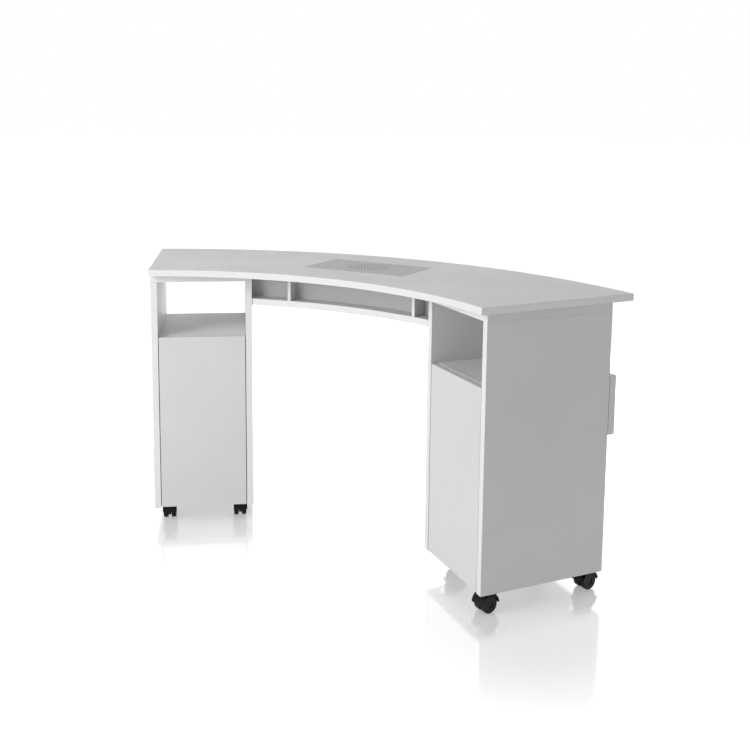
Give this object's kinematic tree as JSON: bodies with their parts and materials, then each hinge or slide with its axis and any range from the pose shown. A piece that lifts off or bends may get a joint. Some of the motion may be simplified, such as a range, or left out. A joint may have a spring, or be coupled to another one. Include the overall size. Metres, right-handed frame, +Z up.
{
  "type": "manicure table",
  "caption": "Arc-shaped white manicure table with a flush dust-extractor grille, a shallow tray under the concave edge and open-niche pedestals with doors on casters.",
  "frame": {"origin": "on the floor, at the middle of the table footprint", "axes": "+Z up, +X along the width, -Y towards the technician at the concave edge, +Y towards the client"},
  "size_m": [1.4997, 0.5947, 0.76],
  "materials": {
    "board_white": "white laminate",
    "caster_black": "moulded nylon",
    "drawer_white": "white laminate",
    "fan_plastic": "moulded",
    "filter_media": "pleated paper",
    "grille_grey": "fine satin powder coat",
    "inlet_black": "moulded",
    "latch_grey": "moulded",
    "nickel_steel": "nickel plated",
    "switch_white": "moulded, satin",
    "top_white": "white laminate, slight orange-peel",
    "tray_white": "white laminate",
    "wheel_black": "moulded nylon tread",
    "zinc_steel": "zinc plated"
  },
  "bodies": {
    "base": {"caster_plates": "nickel_steel", "drawer_rails_fixed": "zinc_steel", "extractor_duct": "zinc_steel", "fan_frame": "fan_plastic", "fixing_screws": "nickel_steel", "hinge_arms": "nickel_steel", "left_back_panel": "board_white", "left_bottom_panel": "board_white", "left_cap_panel": "board_white", "left_inner_side": "board_white", "left_niche_floor": "board_white", "left_outer_side": "board_white", "left_shelf": "board_white", "power_inlet": "inlet_black", "push_latches": "latch_grey", "right_back_panel": "board_white", "right_bottom_panel": "board_white", "right_cap_panel": "board_white", "right_inner_side": "board_white", "right_niche_floor": "board_white", "right_outer_side": "board_white", "right_shelf": "board_white", "shelf_pins": "nickel_steel", "switch_housing": "switch_white", "table_top": "top_white", "tray_back_panel": "tray_white", "tray_divider_left": "tray_white", "tray_divider_right": "tray_white", "tray_shelf": "tray_white"},
    "grille_unit": {"vent_grille": "grille_grey", "filter_cassette": "filter_media"},
    "fan_impeller": {"fan_rotor": "fan_plastic"},
    "left_door_leaf": {"left_door": "board_white", "left_hinge_cups": "nickel_steel"},
    "right_door_leaf": {"right_door": "board_white", "right_hinge_cups": "nickel_steel"},
    "left_plunger": {"left_latch_plunger": "latch_grey"},
    "right_plunger": {"right_latch_plunger": "latch_grey"},
    "drawer": {"drawer_front": "board_white", "drawer_box": "drawer_white", "drawer_rails_moving": "zinc_steel"},
    "switch_key": {"switch_rocker": "switch_white"},
    "swivel_left_front_outer": {"caster_hood_left_front_outer": "caster_black"},
    "wheels_left_front_outer": {"caster_wheels_left_front_outer": "wheel_black"},
    "swivel_left_front_inner": {"caster_hood_left_front_inner": "caster_black"},
    "wheels_left_front_inner": {"caster_wheels_left_front_inner": "wheel_black"},
    "swivel_left_rear_outer": {"caster_hood_left_rear_outer": "caster_black"},
    "wheels_left_rear_outer": {"caster_wheels_left_rear_outer": "wheel_black"},
    "brake_left": {"brake_lever_left": "caster_black"},
    "swivel_left_rear_inner": {"caster_hood_left_rear_inner": "caster_black"},
    "wheels_left_rear_inner": {"caster_wheels_left_rear_inner": "wheel_black"},
    "swivel_right_front_inner": {"caster_hood_right_front_inner": "caster_black"},
    "wheels_right_front_inner": {"caster_wheels_right_front_inner": "wheel_black"},
    "swivel_right_front_outer": {"caster_hood_right_front_outer": "caster_black"},
    "wheels_right_front_outer": {"caster_wheels_right_front_outer": "wheel_black"},
    "swivel_right_rear_inner": {"caster_hood_right_rear_inner": "caster_black"},
    "wheels_right_rear_inner": {"caster_wheels_right_rear_inner": "wheel_black"},
    "swivel_right_rear_outer": {"caster_hood_right_rear_outer": "caster_black"},
    "wheels_right_rear_outer": {"caster_wheels_right_rear_outer": "wheel_black"},
    "brake_right": {"brake_lever_right": "caster_black"}
  },
  "joints": [
    {"name": "grille_lift", "type": "slide", "parent": "base", "child": "grille_unit", "axis": [0, 0, 1], "range_m": [0, 0.05]},
    {"name": "fan_spin", "type": "hinge", "parent": "base", "child": "fan_impeller", "pos_m": [0, 0.084, 0.66], "axis": [0, 0, 1], "continuous": true},
    {"name": "left_door_hinge", "type": "hinge", "parent": "base", "child": "left_door_leaf", "pos_m": [-0.48935, -0.25444, 0.3], "axis": [0, 0, -1], "range_deg": [0, 100]},
    {"name": "left_latch_push", "type": "slide", "parent": "base", "child": "left_plunger", "axis": [-0.5962, 0.8028, 0], "range_m": [0, 0.004], "stiffness_N_per_m": 400, "springref_m": -0.002},
    {"name": "right_door_hinge", "type": "hinge", "parent": "base", "child": "right_door_leaf", "pos_m": [0.48935, -0.25444, 0.3], "axis": [0, 0, 1], "range_deg": [0, 100]},
    {"name": "right_latch_push", "type": "slide", "parent": "base", "child": "right_plunger", "axis": [0.5962, 0.8028, 0], "range_m": [0, 0.004], "stiffness_N_per_m": 400, "springref_m": -0.002},
    {"name": "drawer_slide", "type": "slide", "parent": "base", "child": "drawer", "axis": [0.5962, 0.8028, 0], "range_m": [0, 0.2]},
    {"name": "switch_press", "type": "hinge", "parent": "base", "child": "switch_key", "pos_m": [0.08213, -0.01384, 0.716], "axis": [0, 0, 1], "range_deg": [0, 20]},
    {"name": "swivel_left_front_outer", "type": "hinge", "parent": "base", "child": "swivel_left_front_outer", "pos_m": [-0.50709, -0.19785, 0.048], "axis": [0, 0, 1], "continuous": true},
    {"name": "roll_left_front_outer", "type": "hinge", "parent": "swivel_left_front_outer", "child": "wheels_left_front_outer", "pos_m": [-0.51901, -0.1818, 0.022], "axis": [-0.8028, -0.5962, 0], "continuous": true},
    {"name": "swivel_left_front_inner", "type": "hinge", "parent": "base", "child": "swivel_left_front_inner", "pos_m": [-0.3401, -0.07384, 0.048], "axis": [0, 0, 1], "continuous": true},
    {"name": "roll_left_front_inner", "type": "hinge", "parent": "swivel_left_front_inner", "child": "wheels_left_front_inner", "pos_m": [-0.35285, -0.05843, 0.022], "axis": [-0.7705, -0.6374, 0], "continuous": true},
    {"name": "swivel_left_rear_outer", "type": "hinge", "parent": "base", "child": "swivel_left_rear_outer", "pos_m": [-0.66031, 0.00847, 0.048], "axis": [0, 0, 1], "continuous": true},
    {"name": "roll_left_rear_outer", "type": "hinge", "parent": "swivel_left_rear_outer", "child": "wheels_left_rear_outer", "pos_m": [-0.67991, 0.00445, 0.022], "axis": [0.2011, -0.9796, 0], "continuous": true},
    {"name": "brake_press_left", "type": "hinge", "parent": "swivel_left_rear_outer", "child": "brake_left", "pos_m": [-0.69705, 0.00093, 0.041], "axis": [0.2011, -0.9796, 0], "range_deg": [0, 14], "stiffness_Nm_per_rad": 0.2, "springref_deg": -5.73},
    {"name": "swivel_left_rear_inner", "type": "hinge", "parent": "base", "child": "swivel_left_rear_inner", "pos_m": [-0.49333, 0.13249, 0.048], "axis": [0, 0, 1], "continuous": true},
    {"name": "roll_left_rear_inner", "type": "hinge", "parent": "swivel_left_rear_inner", "child": "wheels_left_rear_inner", "pos_m": [-0.49563, 0.15235, 0.022], "axis": [-0.9934, -0.1149, 0], "continuous": true},
    {"name": "swivel_right_front_inner", "type": "hinge", "parent": "base", "child": "swivel_right_front_inner", "pos_m": [0.3401, -0.07384, 0.048], "axis": [0, 0, 1], "continuous": true},
    {"name": "roll_right_front_inner", "type": "hinge", "parent": "swivel_right_front_inner", "child": "wheels_right_front_inner", "pos_m": [0.35258, -0.05821, 0.022], "axis": [-0.7815, 0.6239, 0], "continuous": true},
    {"name": "swivel_right_front_outer", "type": "hinge", "parent": "base", "child": "swivel_right_front_outer", "pos_m": [0.50709, -0.19785, 0.048], "axis": [0, 0, 1], "continuous": true},
    {"name": "roll_right_front_outer", "type": "hinge", "parent": "swivel_right_front_outer", "child": "wheels_right_front_outer", "pos_m": [0.49876, -0.21604, 0.022], "axis": [0.9092, -0.4163, 0], "continuous": true},
    {"name": "swivel_right_rear_inner", "type": "hinge", "parent": "base", "child": "swivel_right_rear_inner", "pos_m": [0.49333, 0.13249, 0.048], "axis": [0, 0, 1], "continuous": true},
    {"name": "roll_right_rear_inner", "type": "hinge", "parent": "swivel_right_rear_inner", "child": "wheels_right_rear_inner", "pos_m": [0.49563, 0.15235, 0.022], "axis": [-0.9934, 0.1149, 0], "continuous": true},
    {"name": "swivel_right_rear_outer", "type": "hinge", "parent": "base", "child": "swivel_right_rear_outer", "pos_m": [0.66031, 0.00847, 0.048], "axis": [0, 0, 1], "continuous": true},
    {"name": "roll_right_rear_outer", "type": "hinge", "parent": "swivel_right_rear_outer", "child": "wheels_right_rear_outer", "pos_m": [0.66864, 0.02666, 0.022], "axis": [-0.9092, 0.4163, 0], "continuous": true},
    {"name": "brake_press_right", "type": "hinge", "parent": "swivel_right_rear_outer", "child": "brake_right", "pos_m": [0.67593, 0.04257, 0.041], "axis": [-0.9092, 0.4163, 0], "range_deg": [0, 14], "stiffness_Nm_per_rad": 0.2, "springref_deg": -5.73}
  ]
}
